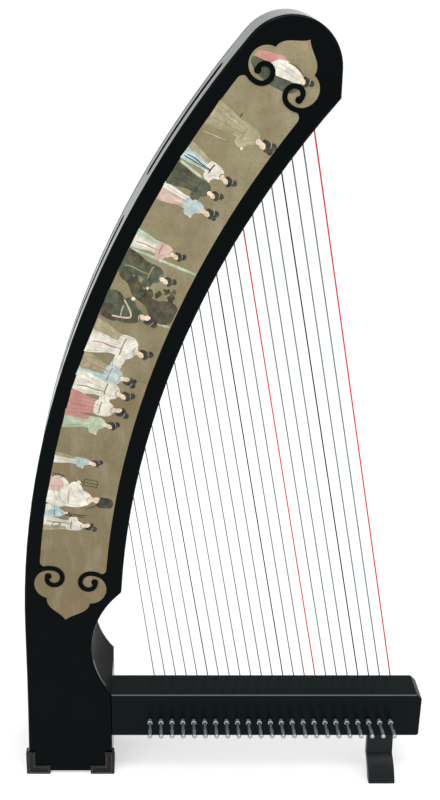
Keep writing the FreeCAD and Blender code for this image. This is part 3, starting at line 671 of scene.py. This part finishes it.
# the figure in the upper cloud leans across it, in a rose and dark green robe
cloudFigure = panelPlace(39.4)
wash("rose", [(-3.0, 0.3), (0.0, -2.4), (6.0, 0.3), (12.0, 12.0), (16.0, 30.0), (8.0, 33.0), (2.0, 14.0)],
     cloudFigure, 1)
wash("moss", [(-8.5, 0.2), (-4.6, -2.0), (-1.6, 0.3), (2.0, 14.0), (6.0, 34.0), (4.0, 56.0), (-4.0, 56.0),
              (-12.0, 40.0), (-14.0, 24.0), (-12.5, 8.0)], cloudFigure, 2)
wash("white", [(0.0, 19.0), (9.0, 20.0), (16.0, 31.0), (17.0, 42.0), (13.0, 54.0), (7.0, 55.0),
               (2.0, 44.0)], cloudFigure, 3)
stroke("moss", [(15.0, 31.0), (19.0, 40.0), (15.0, 52.0)], cloudFigure, 4, 2.4)
for fold in ([(3.0, 22.0), (7.0, 34.0), (8.0, 50.0)], [(8.0, 22.0), (12.0, 34.0), (11.0, 48.0)]):
    stroke("line", fold, cloudFigure, 5, 0.34)
for fold in ([(-6.0, 2.0), (-6.0, 20.0), (-3.0, 44.0)], [(-10.0, 10.0), (-9.0, 28.0), (-5.0, 46.0)]):
    stroke("umber", fold, cloudFigure, 3, 0.4)
head(cloudFigure @ Matrix.Translation((11.5, 4.0, 0.0)) @ Matrix.Scale(0.92, 4), -1, "bun", 5)


def blot(colour, angle, rise, across, along, level, seed, rough=0.28):
    spread = random.Random(seed)
    raised = across * 2 + 1  # keeps every corner round
    corners = 11
    points = []
    for k in range(corners):
        a = 2 * math.pi * k / corners
        reach = 1.0 + rough * (spread.random() * 2 - 1)
        points.append((along * reach * math.cos(a), across * reach * math.sin(a) + 0.5 + raised))
    wash(colour, points, panelPlace(angle, rise) @ Matrix.Translation((0.0, -raised, 0.0)), level)


# furniture, screens and planting between the figures
def pole(colour, angle, low, high, width, drift, level):
    points = [(0.0, low), (drift * 0.5, (low + high) / 2), (drift, high)]
    stroke(colour, points, panelPlace(angle), level, width, 1.0)


pole("celadon", 26.6, 1.2, 78.8, 4.0, 5.0, 1)
pole("celadon", 22.9, 46.0, 79.0, 3.6, 3.0, 2)
pole("pearl", 34.4, 2.0, 30.0, 2.2, 6.0, 1)
pole("ink", 32.75, 2.0, 34.0, 0.8, 1.0, 12)
pole("celadon", 32.35, 1.8, 30.0, 4.4, -3.0, 1)
bush = panelPlace(24.2)
wash("umber", [(24.0, 6.0), (14.0, 3.0), (8.0, 16.0), (-2.0, 26.0), (-8.0, 44.0), (-20.0, 58.0),
               (-16.0, 77.0), (-4.0, 78.4), (5.0, 77.6), (7.0, 66.0), (3.0, 52.0), (6.0, 38.0),
               (14.0, 30.0), (18.0, 18.0)], bush, 2)
for angle, rise, across, along, seed in (
    (25.15, 59.0, 4.6, 3.4, 9), (24.85, 66.0, 4.4, 5.0, 10), (25.3, 66.0, 2.6, 3.0, 3),
    (24.8, 52.0, 3.6, 4.6, 4), (24.55, 40.0, 5.0, 5.4, 5), (25.0, 20.0, 5.0, 4.4, 6),
):
    blot("umber", angle, rise, across, along, 3, seed, 0.4)
for angle, rise, size, seed in (
    (25.0, 12.0, 3.0, 11), (24.3, 34.0, 3.0, 12), (23.9, 60.0, 3.4, 13), (24.1, 72.0, 2.8, 14),
):
    blot("moss", angle, rise, size, size * 1.3, 4, seed)
blot("orange", 41.42, 32.4, 4.6, 4.2, 1, 15, 0.15)
inkMark = panelPlace(36.35, 26.0)
stroke("skin", [(8.0, 20.0), (-6.0, 38.0), (-12.0, 28.0), (-14.0, 14.0)], panelPlace(23.2), 15, 2.2, 0.8)
stroke("ink", [(-2.0, 1.6), (0.0, 0.4), (1.4, 1.8), (3.0, 0.2)], inkMark, 1, 1.1)
stroke("ink", [(0.2, -0.6), (0.6, 1.0), (0.2, 2.6)], inkMark, 1, 0.9)
for points in (
    [(0.0, 1.0), (0.5, 9.0), (-1.0, 17.0)],
    [(-7.0, 1.0), (-4.0, 2.0), (0.0, 6.0)],
    [(-1.0, 15.0), (-5.0, 11.0), (-9.0, 3.0)],
):
    stroke("ink", points, panelPlace(11.5), 3, 1.4)
for points in (
    [(-4.0, 40.0), (4.0, 40.0)], [(-4.0, 56.0), (4.0, 56.0)], [(-4.0, 40.0), (-4.0, 56.0)],
    [(4.0, 40.0), (4.0, 56.0)], [(0.0, 30.0), (0.0, 56.0)],
):
    stroke("umber", points, panelPlace(11.25), 2, 0.9, 1.0)
for points in (
    [(-2.0, 30.0), (0.6, 38.0), (-1.0, 48.0)], [(2.4, 32.0), (1.0, 40.0), (3.0, 50.0)],
    [(-1.4, 34.0), (3.0, 35.0)], [(-1.0, 44.0), (3.0, 45.0)],
):
    stroke("ink", points, panelPlace(8.75), 12, 1.3)
tray = [(-3.0, 10.0), (3.0, 11.0), (3.0, 20.0), (-3.0, 19.0), (-3.0, 10.0)]
stroke("earth", tray, panelPlace(8.0), 12, 1.2)
print("frieze drawn with", len(figures), "figures")

# the frieze is drawn upright, leans with the front panel and is mirrored on to the rear one
leanOver = Matrix.Translation((0.0, (column["middle"] - column["halfDepth"]) * mm, -column["lowered"] * mm))
leanOver = leanOver @ Matrix.Rotation(math.radians(-column["lean"]), 4, "X")
toRear = Matrix.Translation((0.0, 2 * column["middle"] * mm, 0.0)) @ Matrix.Scale(-1.0, 4, (0.0, 1.0, 0.0))
for name, (colour, body) in pigments.items():
    material = pigment(name, colour, body)
    for side, place in (("front", leanOver), ("rear", toRear @ leanOver)):
        layer = paint[name].copy()
        bmesh.ops.remove_doubles(layer, verts=layer.verts, dist=column["weld"])
        bmesh.ops.transform(layer, matrix=place, verts=layer.verts)
        bmesh.ops.recalc_face_normals(layer, faces=layer.faces)
        mesh = bpy.data.meshes.new("frieze_" + name + "_" + side)
        layer.to_mesh(mesh)
        layer.free()
        mesh.materials.append(material)
        piece = bpy.data.objects.new(mesh.name, mesh)
        bpy.context.collection.objects.link(piece)
        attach(piece, "harp_frame")
    paint[name].free()
print("frieze laid on both panels")

# string windings on the rear ends of the tuning pins, in millimetres
winding = {
    "core": 3.38, "front": -4.4, "rear": 2.9, "pinHeight": 82.5, "firstPin": -93.0, "pitch": 14.0,
    "thin": 0.60, "thick": 0.85,  # half of a string's thickness, at the first pin and the last
    "groove": 0.7, "swell": 0.9, "partsPerTurn": 4, "sides": 24, "weld": 0.00001,
    "kinds": {16: "red", 23: "red", 6: "dark", 13: "dark", 20: "dark"},
}


def coilFor(k):
    gauge = winding["thin"] + (winding["thick"] - winding["thin"]) * k / (pinCount - 1)
    front, rear, core = winding["front"], winding["rear"], winding["core"]
    turns = int((rear - front) / (2 * gauge))
    step = (rear - front) / turns
    parts = winding["partsPerTurn"]
    coil = bmesh.new()
    profile = [coil.verts.new((core * mm, front * mm, 0.0))]
    for turn in range(turns):
        for part in range(parts):
            rise = winding["groove"] + winding["swell"] * math.sin(math.pi * part / parts)
            y = front + step * (turn + part / parts)
            profile.append(coil.verts.new(((core + gauge * rise) * mm, y * mm, 0.0)))
    profile.append(coil.verts.new((core * mm, rear * mm, 0.0)))
    rim = [coil.edges.new((profile[i], profile[i + 1])) for i in range(len(profile) - 1)]
    rim.append(coil.edges.new((profile[-1], profile[0])))
    bmesh.ops.spin(coil, geom=profile + rim, cent=(0, 0, 0), axis=(0, 1, 0), angle=2 * math.pi,
                   steps=winding["sides"], use_merge=True)
    bmesh.ops.remove_doubles(coil, verts=coil.verts, dist=winding["weld"])
    pinX = winding["firstPin"] + winding["pitch"] * k
    pinAt = (pinX * mm, column["middle"] * mm, winding["pinHeight"] * mm)
    bmesh.ops.translate(coil, verts=coil.verts, vec=pinAt)
    bmesh.ops.recalc_face_normals(coil, faces=coil.faces)
    return coil


for k in range(pinCount):
    number = k + 1
    coil = coilFor(k)
    mesh = bpy.data.meshes.new("string_winding_%02d" % number)
    coil.to_mesh(mesh)
    coil.free()
    mesh.shade_smooth()
    kind = winding["kinds"].get(number, "pale")
    mesh.materials.append(finishes[kind + "String"])
    piece = bpy.data.objects.new(mesh.name, mesh)
    bpy.context.collection.objects.link(piece)
    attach(piece, "peg_%02d" % number)
print("windings on the pins")
